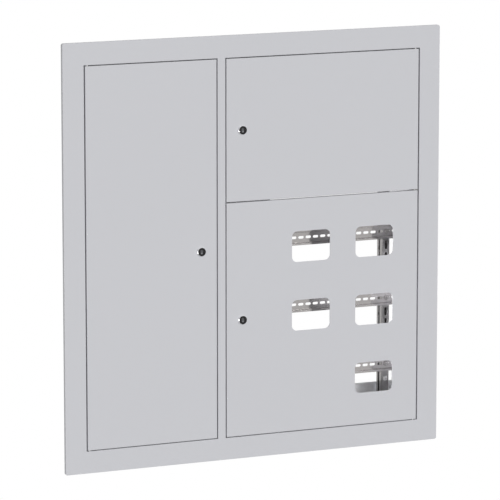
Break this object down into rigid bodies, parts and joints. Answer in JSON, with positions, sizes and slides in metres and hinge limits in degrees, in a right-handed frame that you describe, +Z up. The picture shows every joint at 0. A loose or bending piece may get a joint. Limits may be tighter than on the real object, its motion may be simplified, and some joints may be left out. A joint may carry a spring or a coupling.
{
  "type": "floor distribution board",
  "caption": "Flush floor distribution board: lockable doors in a wide trim, meter windows, perforated top-hat rails on posts and a slotted breaker cover.",
  "frame": {"origin": "centre of the four fixing holes on the rear plane of the box", "axes": "+Z up, +Y back into the wall, +X to the right seen from the front"},
  "size_m": [0.95, 0.1345, 1],
  "materials": {
    "grey_paint": "satin powder coat",
    "galvanised_sheet": "galvanised",
    "plated_steel": "zinc plated",
    "black_zinc": "black satin",
    "bar_brass": "drawn bar",
    "support_plastic": "moulded"
  },
  "bodies": {
    "cabinet": {"bar_screws": "plated_steel", "bar_supports": "support_plastic", "bottom_channel": "galvanised_sheet", "breaker_cover": "grey_paint", "breaker_rail_lower": "galvanised_sheet", "breaker_rail_upper": "galvanised_sheet", "compartment_partition": "galvanised_sheet", "cover_screws": "plated_steel", "earth_bar": "bar_brass", "earth_studs": "plated_steel", "equipment_panel": "galvanised_sheet", "foot_screws": "plated_steel", "front_frame": "grey_paint", "hinge_tab": "plated_steel", "left_side_wall": "galvanised_sheet", "lower_left_post": "galvanised_sheet", "lower_right_post": "galvanised_sheet", "meter_plate": "galvanised_sheet", "meter_rail_lower": "galvanised_sheet", "meter_rail_middle": "galvanised_sheet", "meter_rail_upper": "galvanised_sheet", "middle_pivot_pin": "plated_steel", "neutral_bar": "bar_brass", "plate_screws": "plated_steel", "post_feet": "galvanised_sheet", "rail_nuts": "plated_steel", "rail_screws": "plated_steel", "right_side_wall": "galvanised_sheet", "shelf": "galvanised_sheet", "top_channel": "galvanised_sheet", "upper_left_post": "galvanised_sheet", "upper_right_post": "galvanised_sheet"},
    "left_door": {"left_door": "grey_paint", "left_lock_housing": "plated_steel", "left_lock_nut": "plated_steel", "left_hinge_pins": "plated_steel"},
    "left_lock": {"left_lock_core": "black_zinc", "left_lock_cam": "plated_steel", "left_cam_screw": "plated_steel"},
    "upper_door": {"upper_door": "grey_paint", "upper_lock_housing": "plated_steel", "upper_lock_nut": "plated_steel", "upper_hinge_pin": "plated_steel"},
    "upper_lock": {"upper_lock_core": "black_zinc", "upper_lock_cam": "plated_steel", "upper_cam_screw": "plated_steel"},
    "lower_door": {"lower_door": "grey_paint", "lower_lock_housing": "plated_steel", "lower_lock_nut": "plated_steel", "lower_hinge_pin": "plated_steel"},
    "lower_lock": {"lower_lock_core": "black_zinc", "lower_lock_cam": "plated_steel", "lower_cam_screw": "plated_steel"}
  },
  "joints": [
    {"name": "left_door_hinge", "type": "hinge", "parent": "cabinet", "child": "left_door", "pos_m": [-0.4135, -0.125, -0.0002], "axis": [0, 0, -1], "range_deg": [0, 120]},
    {"name": "upper_door_hinge", "type": "hinge", "parent": "cabinet", "child": "upper_door", "pos_m": [0.4135, -0.125, 0.27855], "axis": [0, 0, 1], "range_deg": [0, 120]},
    {"name": "lower_door_hinge", "type": "hinge", "parent": "cabinet", "child": "lower_door", "pos_m": [0.4135, -0.125, -0.16875], "axis": [0, 0, 1], "range_deg": [0, 120]},
    {"name": "left_lock_turn", "type": "hinge", "parent": "left_door", "child": "left_lock", "pos_m": [-0.1363, -0.12, -0.0002], "axis": [0, 1, 0], "range_deg": [0, 90]},
    {"name": "upper_lock_turn", "type": "hinge", "parent": "upper_door", "child": "upper_lock", "pos_m": [-0.0327, -0.12, 0.27855], "axis": [0, -1, 0], "range_deg": [0, 90]},
    {"name": "lower_lock_turn", "type": "hinge", "parent": "lower_door", "child": "lower_lock", "pos_m": [-0.0327, -0.12, -0.16875], "axis": [0, -1, 0], "range_deg": [0, 90]}
  ]
}
